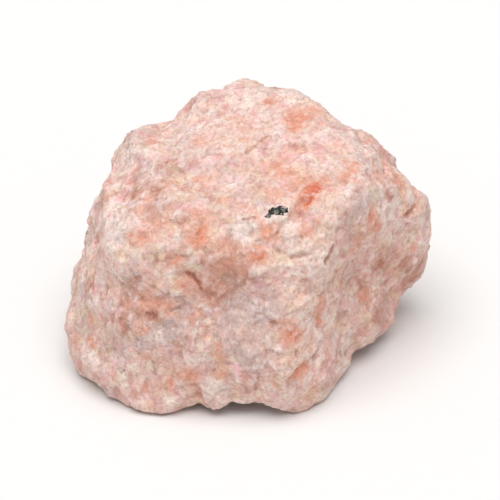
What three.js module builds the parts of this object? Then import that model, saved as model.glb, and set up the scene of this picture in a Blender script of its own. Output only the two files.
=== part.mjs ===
// One rough piece of pink sunstone, broken from the rock and never tumbled. It is a single solid that
// rests on its flattest broken side. Millimetres, +Z up, the side seen first facing -Y, and the origin
// on the resting surface under the middle of the stone.
import * as THREE from "three";
import { mergeVertices } from "three/addons/utils/BufferGeometryUtils.js";

// Driving sizes
const stoneSize = new THREE.Vector3(46, 39, 32); // width, depth and height
const heart = new THREE.Vector3(0, -1, 14); // the point that the whole surface can be seen from
const facetRows = 19; // rows of facets along an edge of the starting icosahedron
const edgeSharpness = 26; // higher gives crisper edges where two broken faces meet
const colour = 0xe3b8a8;

// The broken faces. Azimuth 0 faces the front (-Y) and 90 the right (+X), elevation is above level,
// and distance is from the heart of the stone.
const brokenFaces = [
  { name: "top", azimuth: 0, elevation: 80, distance: 14.6 },
  { name: "top left slope", azimuth: -75, elevation: 58, distance: 19.5 },
  { name: "top back left", azimuth: -145, elevation: 48, distance: 18.5 },
  { name: "top back right", azimuth: 150, elevation: 48, distance: 18 },
  { name: "top right slope", azimuth: 85, elevation: 50, distance: 19.5 },
  { name: "upper front", azimuth: 0, elevation: 45, distance: 16.7 },
  { name: "front left", azimuth: -10, elevation: 4, distance: 16.6 },
  { name: "front right", azimuth: 12, elevation: 14, distance: 16.2 },
  { name: "right", azimuth: 53, elevation: -6, distance: 14.5 },
  { name: "right undercut", azimuth: 65, elevation: -35, distance: 18.2 },
  { name: "far right", azimuth: 103, elevation: -2, distance: 22.4 },
  { name: "back right", azimuth: 146, elevation: 2, distance: 20 },
  { name: "back", azimuth: 186, elevation: -6, distance: 19 },
  { name: "back left", azimuth: -128, elevation: 8, distance: 20.5 },
  { name: "left", azimuth: -85, elevation: 14, distance: 20.2 },
  { name: "left front", azimuth: -52, elevation: 5, distance: 21 },
  { name: "left undercut", azimuth: -60, elevation: -40, distance: 24.5 },
  { name: "back undercut", azimuth: 168, elevation: -46, distance: 18.8 },
  { name: "back left undercut", azimuth: -115, elevation: -42, distance: 21 },
  { name: "underside", azimuth: 0, elevation: -90, distance: 14.4 },
  { name: "underside right", azimuth: 75, elevation: -72, distance: 15.9 },
  { name: "underside back", azimuth: 195, elevation: -76, distance: 15.4 },
];

// The outline as seen from the front and from outlineLift above level: right and up from the heart,
// clockwise from the left. It settles the rim of the stone in that view.
const outlineLift = 32;
const rimKeenness = 7; // higher keeps the fit to the outline nearer the rim
const outline = [
  [-23, -8.9], [-22.8, -4.1], [-20.8, 0.7], [-19.6, 5.1], [-17.6, 8.7], [-16.6, 12.3], [-13.2, 15.2],
  [-10.4, 15.2], [-6.5, 19], [-3.3, 20.4], [-0.3, 20.8], [2.7, 20], [6.7, 19.2], [9.5, 17.2],
  [11.9, 15], [14.7, 14.4], [17.6, 12.2], [19.1, 9.7], [22.3, 6.6], [23, 3.5], [23, 0.7],
  [21.8, -2.9], [19, -6.1], [18.2, -8.9], [15.9, -11.3], [13.5, -12.5], [12.7, -14.8], [11.1, -17.2],
  [9.5, -19.2], [6.7, -20.4], [4.7, -20.2], [2.7, -19.2], [0.7, -18.6], [-1.7, -18.8],
  [-4.9, -19.7], [-7.3, -19.4], [-8.8, -20.2], [-10.4, -21], [-13.2, -21.4], [-15.2, -20.4],
  [-16.6, -18.6], [-19.2, -16.8], [-21.2, -16], [-22.2, -14], [-23, -11.3],
];

// Chips: shell-shaped hollows with a crisp rim, as wide as across and deep in the middle.
const chips = [
  { name: "front hollow", azimuth: -12, elevation: 10, across: 11, deep: 1.8 },
  { name: "right scoop", azimuth: 58, elevation: -4, across: 12, deep: 0.8 },
  { name: "top left hollow", azimuth: -74, elevation: 44, across: 10, deep: 0.7 },
  { name: "arch between the toes", azimuth: -6, elevation: -64, across: 11, deep: 1.3 },
  { name: "left underside", azimuth: -92, elevation: -62, across: 9, deep: 0.7 },
  { name: "right underside", azimuth: 48, elevation: -58, across: 9, deep: 0.9 },
  { name: "back scoop", azimuth: 170, elevation: 18, across: 18, deep: 2 },
  { name: "back left chip", azimuth: -140, elevation: -14, across: 13, deep: 1.8 },
  { name: "back right chip", azimuth: 128, elevation: -20, across: 12, deep: 1.5 },
  { name: "left chip", azimuth: -92, elevation: -6, across: 12, deep: 1.2 },
  { name: "top back chip", azimuth: -160, elevation: 56, across: 10, deep: 0.9 },
  { name: "top right chip", azimuth: 112, elevation: 40, across: 8, deep: 0.7 },
];

// Lumps: soft swellings, as wide as across at about half their rise.
const lumps = [
  { name: "lower lip", azimuth: -28, elevation: -14, across: 12, rise: 0.5 },
  { name: "right toe", azimuth: 30, elevation: -30, across: 8, rise: 1.2 },
  { name: "back bulge", azimuth: 195, elevation: -20, across: 13, rise: 1 },
];

// Ledges: the face rises at the line between two directions, on its left-hand side seen from outside,
// and falls back to its own level over the fade.
const ledges = [
  { name: "step by the flake", from: [-12, 38], to: [30, 41], rise: 0.4, fade: 3 },
  { name: "front crease", from: [-14, 3], to: [-55, 1], rise: 0.8, fade: 5 },
  { name: "top left ledge", from: [-104, 34], to: [-55, 54], rise: 0.5, fade: 4 },
  { name: "top furrow", from: [-30, 78], to: [110, 68], rise: 0.5, fade: 3 },
  { name: "back ledge", from: [205, 4], to: [150, -12], rise: 1.1, fade: 7 },
  { name: "back left step", from: [-160, 36], to: [-108, 20], rise: 0.9, fade: 6 },
  { name: "left ledge", from: [-70, -14], to: [-118, -20], rise: 0.7, fade: 5 },
  { name: "right ledge", from: [75, -22], to: [118, 5], rise: 0.8, fade: 6 },
  { name: "back right step", from: [112, 30], to: [150, 10], rise: 0.7, fade: 5 },
];

// Rough grain of the break, from broad facets to small ones.
const brokenGrain = [
  { size: 10, height: 0.6, seed: 1 },
  { size: 5, height: 0.4, seed: 2 },
  { size: 2.6, height: 0.22, seed: 3 },
];

function toward(azimuth, elevation) {
  const turn = THREE.MathUtils.degToRad(azimuth);
  const rise = THREE.MathUtils.degToRad(elevation);
  return new THREE.Vector3(
    Math.sin(turn) * Math.cos(rise),
    -Math.cos(turn) * Math.cos(rise),
    Math.sin(rise),
  );
}

// A repeatable number from 0 to 1 for each cell of a whole-number grid.
function cellValue(x, y, z, seed) {
  let h = (x * 374761393 + y * 668265263 + z * 2147483647 + seed * 1274126177) | 0;
  h = Math.imul(h ^ (h >>> 13), 1274126177);
  h = Math.imul(h ^ (h >>> 16), 2246822519);
  return ((h ^ (h >>> 15)) >>> 0) / 4294967295;
}

// Small tilted facets with steps between them, about -1 to 1: each cell has a middle, a level and a
// tilt of its own, and the nearest middle rules.
const facetKeenness = 14; // higher gives sharper steps from facet to facet
function facets(point, seed) {
  const cell = point.clone().floor();
  let sum = 0;
  let weights = 0;
  for (let i = 0; i < 27; i++) {
    const x = cell.x + (i % 3) - 1;
    const y = cell.y + (Math.floor(i / 3) % 3) - 1;
    const z = cell.z + Math.floor(i / 9) - 1;
    const value = (k) => cellValue(x, y, z, 10 * seed + k);
    const away = new THREE.Vector3(point.x - x - value(0), point.y - y - value(1), point.z - z - value(2));
    const tilt = new THREE.Vector3(value(3), value(4), value(5)).multiplyScalar(2).subScalar(1);
    const weight = Math.exp(-facetKeenness * away.lengthSq());
    sum += weight * (tilt.dot(away) + value(6) - 0.5);
    weights += weight;
  }
  return sum / weights;
}

// The lower of two reaches, rounded over a little where they meet.
function softLower(a, b, rounding) {
  const blend = THREE.MathUtils.clamp(0.5 + (0.5 * (b - a)) / rounding, 0, 1);
  return THREE.MathUtils.lerp(b, a, blend) - rounding * blend * (1 - blend);
}

// How far the broken faces let the stone reach from its heart in one direction.
const faceNormals = brokenFaces.map((face) => toward(face.azimuth, face.elevation));
function brokenReach(way) {
  let sum = 0;
  faceNormals.forEach((normal, i) => {
    sum += Math.max(0, normal.dot(way) / brokenFaces[i].distance) ** edgeSharpness;
  });
  return sum ** (-1 / edgeSharpness);
}

const lift = THREE.MathUtils.degToRad(outlineLift);
const sightUp = new THREE.Vector3(0, Math.sin(lift), Math.cos(lift));
const sightBack = new THREE.Vector3(0, -Math.cos(lift), Math.sin(lift));

// The outline as a list of turns about the heart and how far out the rim is at each.
function outlineByTurn() {
  const points = outline.map(([right, up]) => new THREE.Vector3(right, up, 0));
  const curve = new THREE.CatmullRomCurve3(points, true, "centripetal");
  return curve
    .getPoints(6 * outline.length)
    .map((point) => ({ turn: Math.atan2(point.y, point.x), out: point.length() }))
    .sort((a, b) => a.turn - b.turn);
}
const rim = outlineByTurn();

// How far out the outline is at one turn.
function outlineAt(turn) {
  const next = rim.findIndex((point) => point.turn > turn);
  const after = rim[Math.max(0, next)];
  const before = rim.at(next < 1 ? -1 : next - 1);
  const gap = (after.turn - before.turn + 2 * Math.PI) % (2 * Math.PI);
  const along = (turn - before.turn + 2 * Math.PI) % (2 * Math.PI);
  return THREE.MathUtils.lerp(before.out, after.out, gap ? along / gap : 0);
}

const chipBalls = chips.map(({ azimuth, elevation, across, deep }) => {
  const way = toward(azimuth, elevation);
  const radius = (across ** 2 / 4 + deep ** 2) / (2 * deep);
  return { radius, centre: way.clone().multiplyScalar(brokenReach(way) - deep + radius) };
});

// The reach cut back to where the way from the heart enters the chip's ball.
const chipRounding = 0.5;
function chippedReach(way, reach, { radius, centre }) {
  const along = way.dot(centre);
  const square = along ** 2 - centre.lengthSq() + radius ** 2;
  return along > 0 && square > 0 ? softLower(reach, along - Math.sqrt(square), chipRounding) : reach;
}

const lumpPlaces = lumps.map(({ azimuth, elevation }) => {
  const way = toward(azimuth, elevation);
  return way.clone().multiplyScalar(brokenReach(way));
});

function lumpRise(place) {
  return lumps.reduce((rise, lump, i) => {
    const away = place.distanceTo(lumpPlaces[i]) / (lump.across / 2);
    return rise + lump.rise * Math.exp(-Math.LN2 * away ** 2);
  }, 0);
}

const ledgeLines = ledges.map(({ from, to }) => {
  const [start, end] = [from, to].map(([azimuth, elevation]) => {
    const way = toward(azimuth, elevation);
    return way.clone().multiplyScalar(brokenReach(way));
  });
  const run = end.clone().sub(start);
  const middle = start.clone().add(end).divideScalar(2);
  const uphill = middle.clone().cross(run).normalize();
  return { middle, uphill, length: run.length(), along: run.normalize() };
});

const ledgeWander = 0.9; // how far a ledge's edge wanders off its line
const ledgeBend = 4; // size of the facets that it wanders by
const ledgeSlope = 0.4; // half the width over which a ledge rises
const ledgeSeed = 20;

function ledgeRise(place) {
  return ledges.reduce((rise, ledge, i) => {
    const { middle, uphill, along, length } = ledgeLines[i];
    const from = place.clone().sub(middle);
    const end = Math.abs(from.dot(along)) / (length / 2);
    if (end > 1 || from.length() > length) return rise;
    const bend = facets(place.clone().divideScalar(ledgeBend), ledgeSeed + i);
    const above = from.dot(uphill) + ledgeWander * bend;
    const step = THREE.MathUtils.smoothstep(above, -ledgeSlope, ledgeSlope);
    const fall = Math.exp(-((Math.max(0, above) / ledge.fade) ** 2));
    return rise + ledge.rise * step * fall * (1 - end ** 4);
  }, 0);
}

// The reach with its chips, lumps, ledges and grain.
function roughReach(way) {
  const reach = chipBalls.reduce((left, ball) => chippedReach(way, left, ball), brokenReach(way));
  const place = way.clone().multiplyScalar(reach);
  const grain = brokenGrain.reduce(
    (sum, { size, height, seed }) => sum + height * facets(place.clone().divideScalar(size), seed),
    0,
  );
  return reach + lumpRise(place) + ledgeRise(place) + grain;
}

// How far a reach goes sideways in the outline's view, at one turn about the heart: the rim is looked
// for up to mostTilt degrees either side of the outline's plane.
const mostTilt = 60;
const tiltStep = 4;
function widestAt(turn, reachOf) {
  let widest = 0;
  const way = new THREE.Vector3();
  for (let tilt = -mostTilt; tilt <= mostTilt; tilt += tiltStep) {
    const t = THREE.MathUtils.degToRad(tilt);
    way.set(Math.cos(turn) * Math.cos(t), 0, 0);
    way.addScaledVector(sightUp, Math.sin(turn) * Math.cos(t));
    way.addScaledVector(sightBack, Math.sin(t));
    widest = Math.max(widest, reachOf(way) * Math.cos(t));
  }
  return widest;
}

// Values worked out once at even turns, and read between them.
const turnSteps = 160;
function byTurn(valueAt) {
  return Array.from({ length: turnSteps }, (_, i) => valueAt((2 * Math.PI * i) / turnSteps - Math.PI));
}
function readTurn(values, turn) {
  const step = ((turn + Math.PI) / (2 * Math.PI)) * turnSteps;
  const [before, after] = [step, step + 1].map((i) => values[Math.floor(i) % turnSteps]);
  return THREE.MathUtils.lerp(before, after, step % 1);
}
const widest = byTurn((turn) => widestAt(turn, brokenReach));
const rimGrowth = byTurn((turn) => outlineAt(turn) / widestAt(turn, roughReach) - 1);

// The point of the surface in one direction, with the rim moved to the outline, the places well inside
// the rim left as they are, and nothing below the floor.
function stoneSurface(way) {
  const turn = Math.atan2(way.dot(sightUp), way.x);
  const sideways = brokenReach(way) * Math.sqrt(1 - way.dot(sightBack) ** 2);
  const share = Math.min(1, sideways / readTurn(widest, turn)) ** rimKeenness;
  const fitted = roughReach(way) * (1 + share * readTurn(rimGrowth, turn));
  const toFloor = way.z < 0 ? heart.z / -way.z : Infinity;
  return way.clone().multiplyScalar(Math.min(fitted, toFloor)).add(heart);
}

function stoneGeometry() {
  const ball = new THREE.IcosahedronGeometry(1, facetRows);
  ball.deleteAttribute("normal");
  ball.deleteAttribute("uv");
  const geometry = mergeVertices(ball, 1e-5);
  const position = geometry.getAttribute("position");
  const way = new THREE.Vector3();
  for (let i = 0; i < position.count; i++) {
    const place = stoneSurface(way.fromBufferAttribute(position, i).normalize());
    position.setXYZ(i, place.x, place.y, place.z);
  }
  geometry.computeBoundingBox();
  const { min, max } = geometry.boundingBox;
  // stands on the floor with its box centred, at the stated size
  geometry.translate(-(min.x + max.x) / 2, -(min.y + max.y) / 2, -min.z);
  const scale = stoneSize.clone().divide(max.clone().sub(min));
  geometry.scale(scale.x, scale.y, scale.z);
  geometry.computeVertexNormals();
  return geometry;
}

const sunstone = new THREE.Mesh(
  stoneGeometry(),
  new THREE.MeshStandardMaterial({ color: colour, roughness: 0.7, metalness: 0 }),
);
sunstone.name = "sunstone";

const part = new THREE.Group();
part.add(sunstone);
export default part;
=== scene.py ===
import random
from math import atan2, cos, exp, radians, sin

import bmesh
import bpy
import numpy as np
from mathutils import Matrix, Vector, noise
from mathutils.bvhtree import BVHTree


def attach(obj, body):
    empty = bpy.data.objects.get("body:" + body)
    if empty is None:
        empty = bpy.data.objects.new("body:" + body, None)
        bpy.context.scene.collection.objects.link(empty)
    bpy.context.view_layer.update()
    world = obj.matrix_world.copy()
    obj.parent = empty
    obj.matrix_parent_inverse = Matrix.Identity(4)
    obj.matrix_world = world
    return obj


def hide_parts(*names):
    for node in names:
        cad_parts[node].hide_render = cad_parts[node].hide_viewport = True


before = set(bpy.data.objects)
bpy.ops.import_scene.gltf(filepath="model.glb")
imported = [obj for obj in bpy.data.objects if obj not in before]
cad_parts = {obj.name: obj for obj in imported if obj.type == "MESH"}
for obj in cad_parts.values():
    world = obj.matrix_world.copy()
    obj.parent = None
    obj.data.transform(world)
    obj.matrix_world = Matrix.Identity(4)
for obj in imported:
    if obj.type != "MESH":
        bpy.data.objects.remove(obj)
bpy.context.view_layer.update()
print("frame loaded")

mm = 0.001  # Blender works in metres, the stone is thought out in millimetres


def addPiece(name, mesh):
    # a finished bmesh as an object of the scene
    data = bpy.data.meshes.new(name)
    mesh.to_mesh(data)
    mesh.free()
    piece = bpy.data.objects.new(name, data)
    bpy.context.scene.collection.objects.link(piece)
    return piece


# The view of the photograph, closed in on the one stone
photoView = {
    "aim": (0.1, -2.6, 14.7),  # mm
    "distance": 700,  # mm
    "height": 32,  # degrees above the horizon
    "lens": 404,  # mm
    "sensor": 36,  # mm
    "clip": (0.05, 50),  # metres
}


def viewWays():
    # right, up and back towards the camera, in the view of the photograph
    height = radians(photoView["height"])
    right = Vector((1, 0, 0))
    up = Vector((0, sin(height), cos(height)))
    back = Vector((0, -cos(height), sin(height)))
    return right, up, back


def placeCamera():
    made = bpy.data.cameras.new("photoView")
    made.lens = photoView["lens"]
    made.sensor_width = photoView["sensor"]
    made.clip_start, made.clip_end = photoView["clip"]
    eye = bpy.data.objects.new("photoView", made)
    bpy.context.scene.collection.objects.link(eye)
    back = viewWays()[2]
    eye.location = (Vector(photoView["aim"]) + back * photoView["distance"]) * mm
    eye.rotation_euler = back.to_track_quat("Z", "Y").to_euler()
    bpy.context.scene.camera = eye
    print("camera placed")


# A pale sky and one large lamp nearly overhead
studioLight = {
    "sky": 0.475,  # even light from all round
    "skyColour": (1, 0.985, 0.97, 1),
    "keyFrom": (-0.05, -0.23, 0.97),  # a little to the front
    "keyPower": 2.53,
    "keySpread": 55,  # degrees across, as a large softbox
}


def lightStudio():
    world = bpy.data.worlds.new("paleSky")
    world.use_nodes = True
    background = world.node_tree.nodes["Background"]
    background.inputs["Color"].default_value = studioLight["skyColour"]
    background.inputs["Strength"].default_value = studioLight["sky"]
    bpy.context.scene.world = world
    key = bpy.data.lights.new("softKey", "SUN")
    key.energy = studioLight["keyPower"]
    key.angle = radians(studioLight["keySpread"])
    lamp = bpy.data.objects.new("softKey", key)
    bpy.context.scene.collection.objects.link(lamp)
    lamp.rotation_euler = Vector(studioLight["keyFrom"]).to_track_quat("Z", "Y").to_euler()
    print("studio lit")


# A plain floor that reaches past the view
paleFloor = {
    "width": 24,  # metres
    "cells": 4,  # along each side
    "colour": (0.81, 0.805, 0.8, 1),
    "roughness": 0.75,
}


def buildFloor():
    mesh = bmesh.new()
    cells = paleFloor["cells"]
    bmesh.ops.create_grid(mesh, x_segments=cells, y_segments=cells, size=paleFloor["width"] / 2)
    floor = addPiece("paleFloor", mesh)
    material = bpy.data.materials.new("palePaint")
    material.use_nodes = True
    shader = material.node_tree.nodes["Principled BSDF"]
    shader.inputs["Base Color"].default_value = paleFloor["colour"]
    shader.inputs["Roughness"].default_value = paleFloor["roughness"]
    floor.data.materials.append(material)
    print("floor laid")


def put(tree, kind, settings=None, sockets=None):
    # a new node, and for each of its sockets a link or a value
    made = tree.nodes.new(kind)
    for name, value in (settings or {}).items():
        setattr(made, name, value)
    for name, value in (sockets or {}).items():
        if isinstance(value, bpy.types.NodeSocket):
            tree.links.new(value, made.inputs[name])
        else:
            made.inputs[name].default_value = value
    return made


def mixed(tree, share, first, second, blend="MIX"):
    # a colour mix has its share at socket 0 and its colours at 6 and 7, and gives the result at 2
    made = put(tree, "ShaderNodeMix", {"data_type": "RGBA", "blend_type": blend},
               {0: share, 6: first, 7: second})
    return made.outputs[2]


def sums(tree, way, first, second=0.0, third=0.0):
    made = put(tree, "ShaderNodeMath", {"operation": way}, {0: first, 1: second, 2: third})
    return made.outputs[0]


def vectors(tree, way, first, second, third=(0, 0, 0)):
    made = put(tree, "ShaderNodeVectorMath", {"operation": way}, {0: first, 1: second, 2: third})
    return made.outputs[0]


def ranged(tree, value, low, high, floor=0.0, ceiling=1.0, way="SMOOTHSTEP"):
    # from floor at low to ceiling at high, and low may be the larger one
    made = put(tree, "ShaderNodeMapRange", {"interpolation_type": way}, {
        "Value": value, "From Min": low, "From Max": high, "To Min": floor, "To Max": ceiling,
    })
    return made.outputs["Result"]


def markOf(tree, name):
    return put(tree, "ShaderNodeAttribute", {"attribute_name": name}).outputs["Fac"]


def noiseOf(tree, where, size, detail, roughness, out="Fac"):
    made = put(tree, "ShaderNodeTexNoise", None,
               {"Vector": where, "Scale": 1 / size, "Detail": detail, "Roughness": roughness})
    return made.outputs[out]


def unevenOf(tree, where, part):
    # a noise, stretched to the values that one part of the look asks for
    return ranged(tree, noiseOf(tree, where, *part["noise"]), *part["from"], *part["to"], "LINEAR")


def cellsOf(tree, where, size, settings=None):
    # a pattern of cells, whose distances come out as shares of their size
    return put(tree, "ShaderNodeTexVoronoi", settings, {"Vector": where, "Scale": 1 / size})


def chanceOf(tree, cells, channel):
    # one of the three random numbers that each cell has
    parts = put(tree, "ShaderNodeSeparateColor", None, {"Color": cells.outputs["Color"]})
    return parts.outputs[channel]


def ramped(tree, value, stops):
    made = put(tree, "ShaderNodeValToRGB", None, {"Fac": value})
    ramp = made.color_ramp
    ramp.elements[0].position, ramp.elements[0].color = stops[0]
    ramp.elements[1].position, ramp.elements[1].color = stops[-1]
    for position, colour in stops[1:-1]:
        ramp.elements.new(position).color = colour
    return made.outputs["Color"]


def coated(tree, look, value, coats, colour):
    # each coat comes in between two values of what it follows
    for tone, change, most, *blend in coats:
        share = ranged(tree, value, *change, 0, most)
        colour = mixed(tree, share, colour, look[tone], *blend)
    return colour


def centred(tree, colour):
    # a random colour as a short arrow that may point any way
    return vectors(tree, "SUBTRACT", colour, (0.5, 0.5, 0.5))


def shifted(tree, where, steps, size):
    return vectors(tree, "ADD", where, [step * size for step in steps])


def linear(red, green, blue):
    # a screen colour, 0 to 255, as the linear colour that a shader wants
    made = []
    for level in (red, green, blue):
        part = level / 255
        made.append(part / 12.92 if part <= 0.04045 else ((part + 0.055) / 1.055) ** 2.4)
    return (*made, 1)


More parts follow.
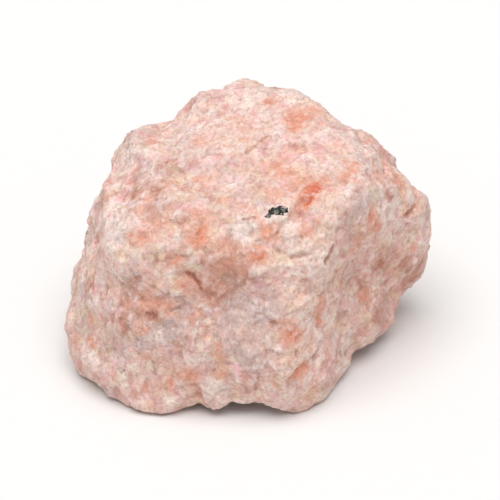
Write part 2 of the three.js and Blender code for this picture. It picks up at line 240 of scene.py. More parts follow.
# The stone. Lengths are in mm, and a share or a strength of 1 is all of it.
roughSunstone = {
    "cleavage": (-0.73, 0.67, 0.12),  # the planes that feldspar splits along face this way

    # The broken surface. A fractal is smoothness, step from layer to layer, and number of layers.
    "relief": {
        "weld": 0.001,  # facets of the solid are joined where their corners are this close
        "cuts": 2,  # times every edge of the solid is halved
        "softening": 0.5,  # share of a full smoothing, after each cut
        "grains": ((4.2, 0.34, 60), (2.0, 0.21, 45), (1.0, 0.13, 26)),  # size, height, keenness
        "levels": 0.55,  # how far a grain stands out or in, as a share of its height
        "lost": (0.06, 0.75),  # share of the grains that broke out, and how deep
        "shuffles": (57.3, 31.7),  # other numbers give the grains other tilts and other levels
        "squeeze": 1.4,  # grains are narrower across the planes
        "swell": (6.5, 0.35, (0.9, 2.1, 4)),  # slow unevenness: size, height, fractal
        "streaks": (0.5, 2.6, 0.07, (1, 2, 2)),  # plane edges: width, length, height, fractal
        "pits": 0.22,  # depth of the dark marks
        "footing": 1.2,  # the relief fades out this close to the floor
    },

    # Marks seen in the photograph, from the top of the stone down. Each is right and up from the
    # middle of the view, its width and its strength, and for a streak its other end. The wide faint
    # ones tint a whole area: the wide faint orange ones on the right face and low on the front are
    # painted warm bounce light, and the two wide faint white ones high on the top are a painted
    # highlight. Those on the sides that the photograph doesn't show are random.
    "marks": {
        "orange": {
            "wander": 0.6,  # how far its edges stray
            "unseen": 46,  # number of random ones
            "widths": (0.8, 2.1),  # of the random ones
            "seen": (
                (2.6, 18.6, 1.6, 0.5), (7.8, 17.4, 1.6, 0.6), (6.0, 16.4, 2.2, 0.95),
                (-0.6, 15.6, 2.2, 0.42), (-6.2, 13.7, 1.8, 0.5), (11.2, 13.0, 1.6, 0.5),
                (6.8, 12.2, 1.4, 0.4), (17.2, 10.8, 1.9, 0.6), (13.4, 10.8, 0.8, 0.65, 12.3, 9.4),
                (3.8, 10.4, 2.0, 0.75), (11.8, 9.2, 0.8, 0.5), (16.2, 9.0, 1.4, 0.6),
                (18.4, 8.7, 2.2, 0.75), (-5.5, 8.5, 1.4, 0.5), (7.3, 7.8, 3.4, 0.7),
                (2.8, 7.2, 1.6, 0.5), (7.2, 6.6, 1.7, 1.15, 8.2, 7.8), (-14.0, 5.0, 1.2, 0.55),
                (19.5, 4.8, 1.0, 0.6), (15.1, 4.2, 1.7, 0.75, 15.7, 2.7), (-6.2, 3.6, 1.8, 0.55),
                (-11.2, 2.8, 2.2, 0.5), (7.0, 2.4, 1.2, 0.85), (2.4, 2.2, 1.8, 0.65),
                (-6.5, 1.9, 1.9, 0.95), (-13.9, 1.5, 1.6, 0.75), (15.4, 0.8, 1.3, 0.5),
                (8.7, 0.6, 1.2, 0.4), (13.4, 0.2, 1.8, 0.6), (0.9, -0.8, 1.5, 1.0),
                # the wide faint ones at 17.0 and 15.0 across, and at 7.2 and 8.5 lower down, are
                # painted warm bounce light
                (-3.1, -1.2, 2.4, 0.6), (17.0, -1.5, 4.0, 0.3), (15.0, -2.0, 9.0, 0.3),
                (-7.6, -3.0, 0.9, 0.6, -6.3, -4.3), (-8.4, -4.2, 1.3, 0.75), (7.2, -5.0, 4.5, 0.3),
                (14.3, -5.8, 1.6, 0.75), (8.7, -6.4, 1.1, 0.8, 8.6, -8.9),
                (-16.0, -6.5, 0.9, 0.55, -9.8, -6.6), (17.7, -7.4, 1.2, 0.4), (7.9, -7.8, 1.1, 0.6),
                (-20.0, -8.8, 1.5, 0.65), (-13.6, -9.9, 1.2, 0.6), (5.2, -10.7, 1.7, 0.9),
                (-0.4, -11.4, 2.0, 0.3), (8.5, -11.5, 5.5, 0.3), (-19.8, -11.6, 1.3, 0.8),
                (-3.8, -12.0, 0.9, 0.55, -3.6, -15.4), (1.4, -13.0, 1.6, 0.3),
                (-13.2, -13.4, 1.6, 0.4), (5.3, -13.9, 1.3, 0.6), (6.8, -14.3, 1.2, 0.75),
                (6.2, -15.0, 1.4, 0.95), (-7.6, -15.6, 1.7, 0.65), (8.0, -16.6, 2.0, 0.5),
                (-10.2, -17.0, 1.1, 0.85), (-13.4, -17.4, 1.6, 0.5),
            ),
        },
        "brown": {
            "wander": 0.8,
            "unseen": 26,
            "widths": (1.0, 2.8),
            "seen": (
                (-11.8, 7.8, 2.2, 0.75), (-14.6, 7.2, 1.4, 0.6), (12.2, 5.2, 1.8, 0.45),
                (-14.7, 4.9, 1.4, 0.7), (-7.6, 4.8, 1.8, 0.45), (-12.2, 4.6, 2.4, 0.7),
                (-8.6, 3.6, 1.3, 0.85), (21.4, 3.3, 1.2, 0.4), (13.4, 1.0, 1.8, 0.6),
                (21.0, -0.8, 1.3, 0.6), (-9.6, -0.9, 1.7, 0.65), (-3.1, -1.2, 2.8, 1.1),
                (16.5, -1.3, 2.6, 0.85), (18.7, -1.9, 1.8, 0.85), (20.6, -2.5, 3.4, 1.0),
                (13.2, -2.6, 1.6, 0.3), (-1.6, -3.1, 2.2, 0.8), (-7.5, -3.5, 2.2, 0.45),
                (-20.6, -3.7, 1.0, 0.45), (-20.4, -4.8, 1.3, 0.8), (-14.5, -5.2, 2.0, 0.85),
                (-4.4, -5.6, 2.2, 0.85), (14.0, -6.3, 2.2, 0.2),
                (-13.0, -6.4, 1.0, 0.6, -9.8, -6.5), (-5.5, -7.4, 1.2, 0.45),
                (-9.3, -7.8, 2.0, 0.45), (15.9, -7.8, 1.6, 0.9), (-12.6, -8.0, 2.0, 0.6),
                # the ones at -16.0 and -16.6 across, low on the left, are a painted shadow of a
                # neighbouring stone
                (-11.0, -8.1, 1.3, 0.85), (-6.2, -9.2, 2.2, 0.5), (-16.0, -9.4, 1.7, 0.6),
                (2.6, -9.7, 0.9, 0.5, 5.6, -8.8), (-16.6, -9.8, 2.0, 0.8), (-15.0, -16.3, 1.2, 0.5),
            ),
        },
        "dark": {
            "wander": 0.15,
            "unseen": 20,
            "widths": (0.25, 0.5),
            "seen": (
                (-0.9, 11.9, 0.3, 0.45, 2.3, 14.2), (-11.6, 10.4, 0.35, 0.4, -9.4, 11.2),
                (-14.6, 6.6, 0.5, 0.5), (17.4, 6.5, 0.6, 0.55), (-10.6, 6.4, 0.35, 0.45),
                (6.6, 6.2, 0.3, 0.5), (19.4, 4.4, 0.45, 0.8, 20.3, 5.4),
                (-0.9, 3.8, 0.25, 0.55, 0.5, 4.1), (9.3, -1.4, 0.28, 0.75, 10.4, 0.5),
                (16.2, -1.7, 0.6, 0.6), (-7.9, -2.8, 0.32, 1.0, -7.1, -3.2),
                (-7.1, -3.2, 0.36, 1.0, -6.4, -4.0), (-6.4, -4.0, 0.24, 0.9, -6.1, -4.9),
                (-13.4, -6.1, 0.45, 0.6), (-6.2, -7.5, 0.4, 0.45), (15.9, -7.9, 0.5, 0.6),
                (-12.4, -8.0, 0.8, 0.8), (-11.7, -8.3, 0.6, 0.8), (-16.2, -8.6, 0.4, 0.45),
                (-2.2, -15.6, 0.4, 0.45),
            ),
        },
        "white": {
            "wander": 0.6,
            "unseen": 20,
            "widths": (0.8, 2.2),
            "seen": (
                # the first two, wide and faint, are a painted highlight that pales the top where
                # the light falls
                (2.0, 17.5, 9.0, 0.42), (-7.0, 15.0, 6.0, 0.36), (9.8, 14.8, 1.4, 0.6),
                (14.8, 12.8, 1.4, 0.6), (13.4, 12.5, 4.5, 0.45), (16.0, 11.7, 1.6, 0.6),
                (-15.2, 11.6, 2.4, 0.6), (11.2, 10.4, 1.2, 0.5), (13.8, 9.3, 0.8, 0.7),
                (-16.4, 8.1, 1.4, 0.6), (12.5, 7.3, 1.0, 0.9), (11.6, 6.8, 1.1, 0.35, 9.6, 3.6),
                (16.2, 6.8, 1.4, 0.5), (20.0, 6.2, 1.4, 0.6), (15.1, 5.2, 1.2, 0.6),
                (17.0, 4.4, 3.2, 0.9), (2.8, 3.9, 0.8, 0.95), (9.6, 3.6, 1.1, 0.3, 8.7, 0.0),
                (-18.6, 3.6, 1.6, 0.8), (5.0, 2.9, 1.6, 0.7), (-17.1, 2.8, 2.8, 1.1),
                (-0.6, 2.8, 1.6, 1.1), (18.0, 2.6, 2.6, 0.6), (-0.8, 2.4, 1.8, 1.2),
                (-8.7, 1.8, 1.1, 0.8), (5.2, 1.0, 1.8, 0.5), (-17.2, 0.6, 1.8, 0.6),
                (11.9, 0.2, 1.3, 0.6), (8.7, 0.0, 1.2, 0.7, 8.9, -4.4), (7.0, -0.4, 1.8, 0.5),
                (-7.2, -1.5, 0.6, 0.5), (-18.4, -2.0, 1.6, 0.5), (12.4, -2.2, 2.2, 0.4),
                (-13.7, -3.2, 1.4, 0.6), (-18.6, -3.6, 1.8, 0.6), (6.2, -3.7, 2.2, 1.1),
                (-14.7, -3.8, 1.1, 0.6), (7.6, -4.2, 2.6, 0.75), (13.0, -6.0, 2.0, 0.5),
                (-19.4, -6.5, 2.0, 0.5), (7.4, -8.5, 2.6, 0.85), (-15.0, -9.3, 1.0, 0.5),
                (8.6, -10.4, 2.2, 0.9), (-11.8, -10.9, 1.4, 0.7), (10.4, -11.0, 2.0, 0.5),
                (-0.5, -11.5, 7.0, 0.15), (5.6, -11.8, 0.8, 0.6), (3.4, -12.0, 1.3, 0.7),
                (11.8, -12.1, 1.8, 0.9), (8.0, -12.4, 2.6, 0.9), (-20.0, -13.4, 1.5, 0.5),
                (-7.1, -13.7, 1.5, 0.6), (1.9, -14.0, 1.5, 0.6), (-5.0, -17.1, 1.5, 0.6),
                (2.6, -17.3, 1.3, 0.6),
            ),
        },
        "beige": {
            "wander": 0.8,
            "unseen": 14,
            "widths": (1.2, 2.4),
            "seen": (
                (-4.4, 14.3, 2.0, 0.35), (8.7, 9.8, 1.2, 0.4), (-7.5, 6.9, 1.6, 0.4),
                (9.4, 6.0, 2.0, 0.7), (10.5, 3.9, 1.2, 0.7), (9.2, 3.0, 1.6, 0.7, 8.6, -1.5),
                (18.7, 2.2, 1.4, 0.4), (6.2, 0.0, 2.2, 0.4), (3.8, -1.6, 2.0, 0.4),
                (8.4, -3.0, 2.4, 0.7), (6.4, -4.0, 2.6, 0.8), (-9.0, -4.4, 1.5, 0.65),
                (7.8, -7.2, 2.8, 0.7), (-13.5, -9.2, 1.0, 0.5), (3.7, -16.2, 2.0, 0.4),
            ),
        },
        "lilac": {
            "wander": 0.8,
            "unseen": 18,
            "widths": (1.2, 2.6),
            "seen": (
                (3.7, 13.0, 1.4, 0.35), (-9.2, 12.6, 2.4, 0.5), (-5.0, 12.5, 2.2, 0.35),
                (-15.2, 11.6, 2.4, 0.5), (-12.0, 9.8, 2.2, 0.5), (-4.0, 9.5, 5.0, 0.3),
                (-16.5, 9.3, 1.4, 0.4), (14.0, 6.2, 1.6, 0.4), (14.3, 6.0, 2.0, 0.7),
                (1.7, 5.8, 1.3, 0.5), (-14.2, 5.4, 1.8, 0.45), (12.8, 4.4, 1.8, 0.5),
                (-8.6, 3.0, 1.4, 0.4), (12.4, 1.9, 1.4, 0.4), (12.6, -3.0, 2.0, 0.6),
                (17.4, -4.4, 1.6, 0.4), (2.5, -6.9, 2.4, 0.7), (-5.5, -7.4, 1.4, 0.7),
                (11.8, -7.5, 2.2, 0.4), (-9.3, -7.8, 2.4, 1.0), (-1.2, -8.5, 3.6, 1.1),
                (-6.7, -8.5, 1.6, 0.6), (-7.0, -8.7, 1.3, 0.7), (-9.6, -9.6, 1.8, 0.9),
                (-13.4, -11.7, 1.4, 0.7), (0.0, -12.5, 3.0, 0.9), (-16.2, -12.5, 2.0, 0.4),
                (-0.6, -13.0, 1.6, 0.4),
            ),
        },
    },
    "markReach": 1.35,  # a mark has faded out this many widths from its middle
    "markBends": 1.4,  # from one bend of a mark's edge to the next
    "bendSeed": 6,  # without a seed, noise_vector gives other bends in every run
    "crestRounds": 14,  # more rounds of averaging count wider humps as crests
    "unseenMarks": {
        "seed": 7,
        "facing": -0.15,  # straight at the camera is 1, and what faces it less than this is unseen
        "gap": 1.6,  # from a random mark to the ones placed before it
        "strengths": (0.45, 0.95),
    },

    # The colour and the finish. A noise is its size, detail and roughness, and where a part has
    # from and to, its noise is stretched from the first two values to the second two. A coat is a
    # tone, the values between which it comes in, and the most that it covers. The numbers of a tint
    # darken what is there when they are below 1 and lighten it when they are above.
    "feldspar": {
        "white": linear(249, 233, 226),
        "pale": linear(245, 215, 204),
        "pink": linear(236, 198, 187),
        "tan": linear(217, 171, 158),
        "beige": linear(236, 211, 190),
        "lilac": linear(204, 184, 182),
        "mauve": linear(200, 154, 150),
        "salmon": linear(237, 180, 158),
        "orange": linear(229, 144, 110),
        "deepOrange": linear(210, 88, 50),
        "brown": linear(196, 138, 116),
        "plum": linear(122, 78, 74),
        "shade": (0.54, 0.38, 0.37, 1),  # what is left of the light in the dark marks

        "bends": ((1.0, 2, 0.5), 1.1),  # noise that bends the patterns, and how far it does
        "planeTip": 8,  # degrees that the layers lean
        "layers": {"leaned": 0.65, "layered": 0.3},  # both are thinner across the planes

        # the matrix
        "clouds": (((4.5, 2, 0.5), 0.65), ((1.6, 2, 0.5), 0.45)),  # noise and share
        "cloudTones": ((0.43, "tan"), (0.51, "pink"), (0.58, "pale"), (0.68, "white")),
        "patches": (  # noise and coat
            ((3.6, 2, 0.45), ("beige", (0.48, 0.62), 0.5)),
            ((3.1, 2, 0.45), ("lilac", (0.53, 0.66), 0.5)),
            ((2.7, 2, 0.45), ("salmon", (0.52, 0.66), 0.55)),
            ((1.9, 2, 0.45), ("mauve", (0.55, 0.68), 0.5)),
        ),
        "patchShift": (11, 7, 3),  # times the size, so that no two patterns line up
        "swings": (((2.6, 2, 0.5), 0.6), ((1.1, 2, 0.5), 0.75)),  # noise and share
        "swingTints": (  # from rose to cream
            (0.37, (1.04, 0.88, 0.98, 1)), (0.51, (1, 1, 1, 1)), (0.65, (0.99, 1.04, 0.9, 1)),
        ),
        "swingShift": (9, 0, 5),  # times the size too

        # the marks, with ragged edges
        "ragged": {"noise": (1.2, 2, 0.5), "from": (0.2, 0.8), "to": (-0.45, 0.45)},
        "markCoats": (
            ("lilac", (0.05, 0.7), 0.8),
            ("beige", (0.05, 0.7), 0.8),
            ("white", (0.05, 0.7), 0.85),
            ("brown", (0.05, 0.8), 0.85),
        ),
        "freckles": {  # small orange spots all over
            "size": 3.0,  # from one to the next
            "edge": (0.5, 0.1),  # as shares of the size, from the outside in
            "chance": (0.5, 1.0),  # half of them are as faint as they get
            "strength": (0.1, 0.7),
            "heldBack": 0.7,  # by the white marks
        },
        "orangeRagged": 0.65,  # how much of the raggedness the orange edges have
        "orangeCoats": (
            ("salmon", (0.0, 0.7), 0.75),
            ("orange", (0.35, 1.1), 0.85),
            ("deepOrange", (0.9, 1.3), 0.9),
        ),

        # grains of about a millimetre and of half a millimetre, each with its own tint and tilt
        "grains": (
            {"size": 1.3, "share": 0.5, "tilt": 0.35, "tints": (
                (0.0, (0.87, 0.78, 0.76, 1)), (0.25, (0.97, 0.92, 0.91, 1)),
                (0.45, (1.0, 1.0, 1.0, 1)), (0.6, (1.01, 0.97, 0.95, 1)),
                (0.75, (0.97, 1.0, 1.01, 1)), (0.95, (1.07, 1.09, 1.09, 1)),
            )},
            {"size": 0.45, "share": 0.45, "tilt": 0.45, "tints": (
                (0.0, (0.84, 0.83, 0.83, 1)), (0.3, (0.96, 0.96, 0.96, 1)),
                (0.6, (1.02, 1.02, 1.02, 1)), (0.95, (1.1, 1.1, 1.1, 1)),
            )},
        ),

        # thin lines, layered along the planes or winding: tone, way, size, width, most
        "lines": (
            ("mauve", "layered", 1.5, 0.02, 0.4),
            ("mauve", "bent", 1.3, 0.018, 0.4),
            ("white", "bent", 1.0, 0.022, 0.5),
            ("white", "layered", 1.1, 0.02, 0.4),
        ),
        "lineNoise": (3, 0.55),  # detail and roughness
        "lineBreaks": {"wider": 0.8, "noise": (2, 0.55), "change": (0.45, 0.62)},

        # fine light and dark speckle, and a few specks
        "speckle": {"noise": (0.22, 3, 0.7), "share": 0.75, "rise": 0.12, "tints": (
            (0.3, (0.83, 0.82, 0.82, 1)), (0.46, (0.98, 0.98, 0.98, 1)),
            (0.56, (1.02, 1.02, 1.02, 1)), (0.7, (1.13, 1.13, 1.13, 1)),
        )},
        "specks": {
            "size": 0.9,
            "edge": (0.26, 0.12),
            "coats": (("mauve", (0.8, 0.95), 0.55), ("white", (0.25, 0.1), 0.55)),
        },

        # painted shade makes the hollows darker and browner and a painted highlight makes the
        # crests paler; the dark marks are darkest and frayed
        "hollowShadeCrestHighlightCoats": (  # by how far the surface stands out
            ("brown", (-0.08, -0.32), 0.45),
            ("plum", (-0.28, -0.6), 0.6),
            ("white", (0.05, 0.25), 0.35),
        ),
        "frayed": {"noise": (0.5, 3, 0.6), "from": (0.3, 0.7), "to": (-0.45, 0.25)},
        "darkCoats": (("brown", (-0.2, 0.4), 0.7), ("shade", (0.2, 0.9), 0.9, "MULTIPLY")),

        # the one flake of black mica, high on the front, in a pale ring
        "mica": {
            "at": (3.3, -13, 26.6),
            "turn": (0, -12, 24),  # degrees
            "size": (1.55, 0.75, 0.75),  # from its middle out
            "edge": (0.85, 0.7),  # as shares of the size
            "ring": ("white", (1.5, 0.9), 0.4),
            "black": linear(24, 26, 25),
            "grey": linear(124, 127, 112),
            "mottle": ((0.6, 3, 0.6), (0.49, 0.62)),  # where the black turns to grey
        },

        # the finish
        "roughness": {"noise": (0.9, 3, 0.55), "from": (0.3, 0.7), "to": (0.55, 0.9)},
        "glints": {"size": 0.5, "chance": (0.86, 0.9), "roughness": 0.35},  # a few smooth grains
        "bump": 0.8,
        "refraction": 1.5,
        "glow": 0.05,  # share of the light that passes through the skin
        "glowDepth": 0.3,
        "glowReach": (1.0, 0.7, 0.55),  # red goes deepest
    },
}


def grainHeight(place, size, keenness, seed):
    # broken grains: each cell of a Voronoi pattern is a small tilted face at its own level
    relief = roughSunstone["relief"]
    lostShare, lostDepth = relief["lost"]
    tiltShuffle, levelShuffle = relief["shuffles"]
    spot = place / size + Vector((seed, seed * 2, seed * 3))
    reaches, middles = noise.voronoi(spot)
    total = 0
    height = 0
    nearest = reaches[0] ** 2
    for reach, middle in zip(reaches, middles):
        weight = exp(-keenness * (reach ** 2 - nearest))  # the nearest grain counts most
        chance = noise.cell_vector(middle * tiltShuffle)
        tilt = chance * 2 - Vector((1, 1, 1))
        level = relief["levels"] * noise.cell(middle * levelShuffle)
        if chance.x < lostShare:
            level -= lostDepth
        total += weight
        height += weight * (tilt.dot(spot - middle) + level)
    return height / total


def reliefAt(place):
    relief = roughSunstone["relief"]
    planes = Vector(roughSunstone["cleavage"]).normalized()
    across = place.dot(planes)
    squeezed = place + planes * (across * (relief["squeeze"] - 1))
    height = 0
    for seed, (size, rise, keenness) in enumerate(relief["grains"]):
        height += rise * grainHeight(squeezed, size, keenness, seed + 1)
    size, rise, fractal = relief["swell"]
    height += rise * noise.fractal(place / size, *fractal)
    width, length, rise, fractal = relief["streaks"]
    streaked = place / length + planes * (across * (1 / width - 1 / length))
    return height + rise * noise.fractal(streaked, *fractal)


def refinedStone(node):
    relief = roughSunstone["relief"]
    mesh = bmesh.new()
    mesh.from_mesh(node.data)
    bmesh.ops.remove_doubles(mesh, verts=mesh.verts, dist=relief["weld"] * mm)
    for cut in range(relief["cuts"]):
        bmesh.ops.subdivide_edges(mesh, edges=mesh.edges[:], cuts=1, use_grid_fill=True)
        bmesh.ops.smooth_vert(
            mesh, verts=mesh.verts, factor=relief["softening"],
            use_axis_x=True, use_axis_y=True, use_axis_z=True,
        )
    mesh.normal_update()
    marks = seenMarks(BVHTree.FromBMesh(mesh), "dark")
    places = np.array([vert.co / mm for vert in mesh.verts])
    pits = markValues(places, marks) * relief["pits"]
    moves = []
    for vert, pit in zip(mesh.verts, pits):
        place = vert.co / mm
        footing = min(1, max(0, place.z) / relief["footing"])
        moves.append(vert.normal * (reliefAt(place) * footing - pit))
    for vert, move in zip(mesh.verts, moves):
        place = vert.co / mm + move
        place.z = max(place.z, 0)  # nothing goes through the floor
        vert.co = place * mm
    mesh.normal_update()
    return mesh


def spotOnStone(surface, across, up):
    # the point of the surface that the photograph shows at one place of the view, in mm
    right, upwards, back = viewWays()
    aim = Vector(photoView["aim"])
    eye = (aim + back * photoView["distance"]) * mm
    target = (aim + right * across + upwards * up) * mm
    spot = surface.ray_cast(eye, target - eye)[0]
    return None if spot is None else np.array(spot / mm)


def seenMarks(surface, kind):
    # the marks of one kind as start, end, width and strength, with those off the stone left out
    found = []
    for across, up, width, strength, *end in roughSunstone["marks"][kind]["seen"]:
        start = spotOnStone(surface, across, up)
        finish = spotOnStone(surface, *end) if end else start
        if start is not None and finish is not None:
            found.append((start, finish, width, strength))
    return found


def unseenMarks(places, faces, kind, known, draw):
    # random marks on the back, the ends and underneath, kept apart from one another
    rules = roughSunstone["unseenMarks"]
    marks = roughSunstone["marks"][kind]
    hidden = np.flatnonzero(faces @ np.array(viewWays()[2]) < rules["facing"])
    made = []
    while len(made) < marks["unseen"]:
        spot = places[hidden[draw.randrange(len(hidden))]]
        if all(np.linalg.norm(spot - other[0]) > rules["gap"] for other in known + made):
            width = draw.uniform(*marks["widths"])
            made.append((spot, spot, width, draw.uniform(*rules["strengths"])))
    return made


def markValues(places, marks):
    # full strength near the middle line of each mark, fading out just past its width
    values = np.zeros(len(places))
    for start, finish, width, strength in marks:
        run = finish - start
        along = np.clip((places - start) @ run / max(run @ run, 1e-6), 0, 1)  # a spot has no run
        away = np.linalg.norm(places - start - along[:, None] * run, axis=1) / width
        values = np.maximum(values, strength * np.clip(roughSunstone["markReach"] - away, 0, 1))
    return values


def averaged(values, ends, rounds):
    # every value is replaced by the mean of its neighbours', a few times over
    count = len(values)
    around = np.bincount(ends.ravel(), minlength=count)
    for turn in range(rounds):
        total = np.bincount(ends[:, 0], values[ends[:, 1]], count)
        total += np.bincount(ends[:, 1], values[ends[:, 0]], count)
        values = total / around
    return values


def addMark(mesh, name, values):
    mark = mesh.attributes.new(name, "FLOAT", "POINT")
    mark.data.foreach_set("value", values.astype(np.float32))


def listed(items, name, parts, kind=float):
    # one property of all vertices or edges, a row for each
    values = np.zeros(len(items) * parts, kind)
    items.foreach_get(name, values)
    return values.reshape(-1, parts)


def markStone(mesh, surface):
    places = listed(mesh.vertices, "co", 3) / mm
    faces = listed(mesh.vertices, "normal", 3)
    ends = listed(mesh.edges, "vertices", 2, int)

    length = roughSunstone["markBends"]
    noise.seed_set(roughSunstone["bendSeed"])
    bends = np.array([noise.noise_vector(Vector(place) / length) for place in places])
    draw = random.Random(roughSunstone["unseenMarks"]["seed"])
    known = []
    for kind, look in roughSunstone["marks"].items():
        marks = seenMarks(surface, kind)
        marks += unseenMarks(places, faces, kind, known, draw)
        known += marks
        addMark(mesh, kind, markValues(places + bends * look["wander"], marks))

    # how far each spot stands out from the stone round about it
    rounds = roughSunstone["crestRounds"]
    smooth = np.stack([averaged(places[:, axis], ends, rounds) for axis in range(3)], 1)
    addMark(mesh, "crest", np.einsum("ij,ij->i", places - smooth, faces))
    print("stone marked:", len(known), "marks")


def feldsparPlaces(tree, look):
    # where the patterns are read, in mm: straight, bent, and bent and layered along the planes
    coords = put(tree, "ShaderNodeTexCoord").outputs["Object"]
    straight = put(tree, "ShaderNodeMapping", None, {
        "Vector": coords, "Scale": (1 / mm, 1 / mm, 1 / mm),
    }).outputs[0]
    swirl, push = look["bends"]
    bend = centred(tree, noiseOf(tree, straight, *swirl, out="Color"))
    bent = vectors(tree, "MULTIPLY_ADD", bend, (push, push, push), straight)
    places = {"straight": straight, "bent": bent}
    right, back = roughSunstone["cleavage"][:2]
    turn = (0, radians(look["planeTip"]), atan2(back, right))
    for name, thin in look["layers"].items():
        places[name] = put(tree, "ShaderNodeMapping", {"vector_type": "TEXTURE"}, {
            "Vector": bent, "Rotation": turn, "Scale": (thin, 1, 1),
        }).outputs[0]
    return places


def feldsparMatrix(tree, look, places):
    cloud = 0.0
    for size, share in look["clouds"]:
        cloud = sums(tree, "MULTIPLY_ADD", noiseOf(tree, places["bent"], *size), share, cloud)
    colour = ramped(tree, cloud, [(position, look[tone]) for position, tone in look["cloudTones"]])
    for patch, coat in look["patches"]:
        where = shifted(tree, places["bent"], look["patchShift"], patch[0])
        colour = coated(tree, look, noiseOf(tree, where, *patch), [coat], colour)
    for swing, share in look["swings"]:
        where = shifted(tree, places["straight"], look["swingShift"], swing[0])
        tint = ramped(tree, noiseOf(tree, where, *swing), look["swingTints"])
        colour = mixed(tree, share, colour, tint, "MULTIPLY")
    return colour


def feldsparMarks(tree, look, places, colour):
    ragged = unevenOf(tree, places["bent"], look["ragged"])
    for coat in look["markCoats"]:
        mark = sums(tree, "ADD", markOf(tree, coat[0]), ragged)
        colour = coated(tree, look, mark, [coat], colour)

    # the orange marks, and the freckles between them
    freckles = look["freckles"]
    cells = cellsOf(tree, places["bent"], freckles["size"])
    spot = ranged(tree, cells.outputs["Distance"], *freckles["edge"])
    strength = ranged(tree, chanceOf(tree, cells, 0), *freckles["chance"], *freckles["strength"])
    freckle = sums(tree, "MULTIPLY", spot, strength)
    heldBack = sums(tree, "MULTIPLY", markOf(tree, "white"), freckles["heldBack"])
    freckle = sums(tree, "SUBTRACT", freckle, heldBack)
    orange = sums(tree, "MAXIMUM", markOf(tree, "orange"), freckle)
    orange = sums(tree, "MULTIPLY_ADD", ragged, look["orangeRagged"], orange)
    return coated(tree, look, orange, look["orangeCoats"], colour)


def feldsparGrains(tree, look, places, colour):
    leaned = places["leaned"]
    height = 0.0
    for kind in look["grains"]:
        grains = cellsOf(tree, leaned, kind["size"])
        tints = cellsOf(tree, leaned, kind["size"], {"feature": "SMOOTH_F1"})
        tint = ramped(tree, chanceOf(tree, tints, 0), kind["tints"])
        colour = mixed(tree, kind["share"], colour, tint, "MULTIPLY")
        lean = centred(tree, grains.outputs["Color"])
        offset = vectors(tree, "SUBTRACT", leaned, grains.outputs["Position"])
        rise = put(tree, "ShaderNodeVectorMath", {"operation": "DOT_PRODUCT"},
                   {0: lean, 1: offset}).outputs["Value"]
        height = sums(tree, "MULTIPLY_ADD", rise, kind["tilt"], height)
    return colour, height


def feldsparLines(tree, look, places, colour):
    # a line runs where a noise has its middle value, and a wider noise breaks it up
    breaks = look["lineBreaks"]
    for tone, way, size, width, most in look["lines"]:
        middling = sums(tree, "SUBTRACT", noiseOf(tree, places[way], size, *look["lineNoise"]), 0.5)
        line = ranged(tree, sums(tree, "ABSOLUTE", middling), width, 0.0)
        some = noiseOf(tree, places["straight"], size + breaks["wider"], *breaks["noise"])
        some = ranged(tree, some, *breaks["change"], 0, most)
        colour = mixed(tree, sums(tree, "MULTIPLY", line, some), colour, look[tone])
    return colour


def feldsparSpeckle(tree, look, places, colour):
    speckle = look["speckle"]
    fine = noiseOf(tree, places["straight"], *speckle["noise"])
    colour = mixed(tree, speckle["share"], colour, ramped(tree, fine, speckle["tints"]), "MULTIPLY")
    specks = look["specks"]
    cells = cellsOf(tree, places["bent"], specks["size"])
    for tone, change, most in specks["coats"]:
        speck = ranged(tree, cells.outputs["Distance"], *specks["edge"])
        some = ranged(tree, chanceOf(tree, cells, 1), *change, 0, most)
        colour = mixed(tree, sums(tree, "MULTIPLY", speck, some), colour, look[tone])
    return colour, fine


def hollowShadeAndDarkMarks(tree, look, colour, frayed):
    # painted shade in the hollows and a painted highlight on the crests, by how far the surface
    # stands out
    colour = coated(tree, look, markOf(tree, "crest"), look["hollowShadeCrestHighlightCoats"], colour)
    dark = sums(tree, "ADD", markOf(tree, "dark"), frayed)
    return coated(tree, look, dark, look["darkCoats"], colour)


def micaFlake(tree, look, places, colour, frayed):
    mica = look["mica"]
    turn = [radians(degrees) for degrees in mica["turn"]]
    place = put(tree, "ShaderNodeMapping", {"vector_type": "TEXTURE"}, {
        "Vector": places["bent"], "Location": mica["at"], "Rotation": turn, "Scale": mica["size"],
    }).outputs[0]
    away = put(tree, "ShaderNodeVectorMath", {"operation": "LENGTH"}, {0: place}).outputs["Value"]
    away = sums(tree, "ADD", away, frayed)
    colour = coated(tree, look, away, [mica["ring"]], colour)
    mottle, change = mica["mottle"]
    mottle = ranged(tree, noiseOf(tree, places["straight"], *mottle), *change)
    flake = mixed(tree, mottle, mica["black"], mica["grey"])
    return mixed(tree, ranged(tree, away, *mica["edge"]), colour, flake)


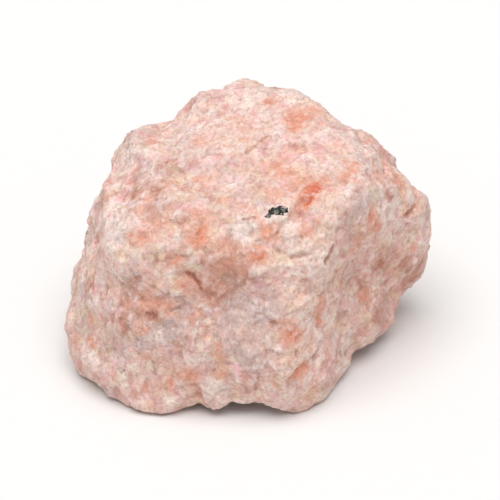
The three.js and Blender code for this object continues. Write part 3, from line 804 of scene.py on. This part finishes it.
def feldspar():
    look = roughSunstone["feldspar"]
    material = bpy.data.materials.new("pinkFeldspar")
    material.use_nodes = True
    tree = material.node_tree
    tree.nodes.clear()
    places = feldsparPlaces(tree, look)
    frayed = unevenOf(tree, places["straight"], look["frayed"])
    colour = feldsparMatrix(tree, look, places)
    colour = feldsparMarks(tree, look, places, colour)
    colour, height = feldsparGrains(tree, look, places, colour)
    colour = feldsparLines(tree, look, places, colour)
    colour, fine = feldsparSpeckle(tree, look, places, colour)
    colour = hollowShadeAndDarkMarks(tree, look, colour, frayed)
    colour = micaFlake(tree, look, places, colour, frayed)

    broken = unevenOf(tree, places["bent"], look["roughness"])
    glints = look["glints"]
    glint = chanceOf(tree, cellsOf(tree, places["leaned"], glints["size"]), 2)
    glint = ranged(tree, glint, *glints["chance"])
    # a mix of numbers has its share at socket 0 and the numbers at 2 and 3
    roughness = put(tree, "ShaderNodeMix", None, {0: glint, 2: broken, 3: glints["roughness"]})
    height = sums(tree, "MULTIPLY_ADD", fine, look["speckle"]["rise"], height)
    bump = put(tree, "ShaderNodeBump", None,
               {"Strength": look["bump"], "Distance": mm, "Height": height})
    shader = put(tree, "ShaderNodeBsdfPrincipled", None, {
        "Base Color": colour, "Roughness": roughness.outputs[0], "Normal": bump.outputs[0],
        "IOR": look["refraction"], "Subsurface Weight": look["glow"],
        "Subsurface Scale": look["glowDepth"] * mm, "Subsurface Radius": look["glowReach"],
    })
    put(tree, "ShaderNodeOutputMaterial", None, {"Surface": shader.outputs[0]})
    print("feldspar mixed:", len(tree.nodes), "nodes")
    return material


def buildStone():
    mesh = refinedStone(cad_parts["sunstone"])
    surface = BVHTree.FromBMesh(mesh)
    piece = addPiece("roughSunstone", mesh)
    faces = piece.data.polygons
    faces.foreach_set("use_smooth", [True] * len(faces))
    print("stone shaped:", len(faces), "faces")
    markStone(piece.data, surface)
    piece.data.materials.append(feldspar())
    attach(piece, "root")
    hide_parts("sunstone")


buildStone()
buildFloor()
lightStudio()
placeCamera()
bpy.context.scene.view_settings.view_transform = "Standard"
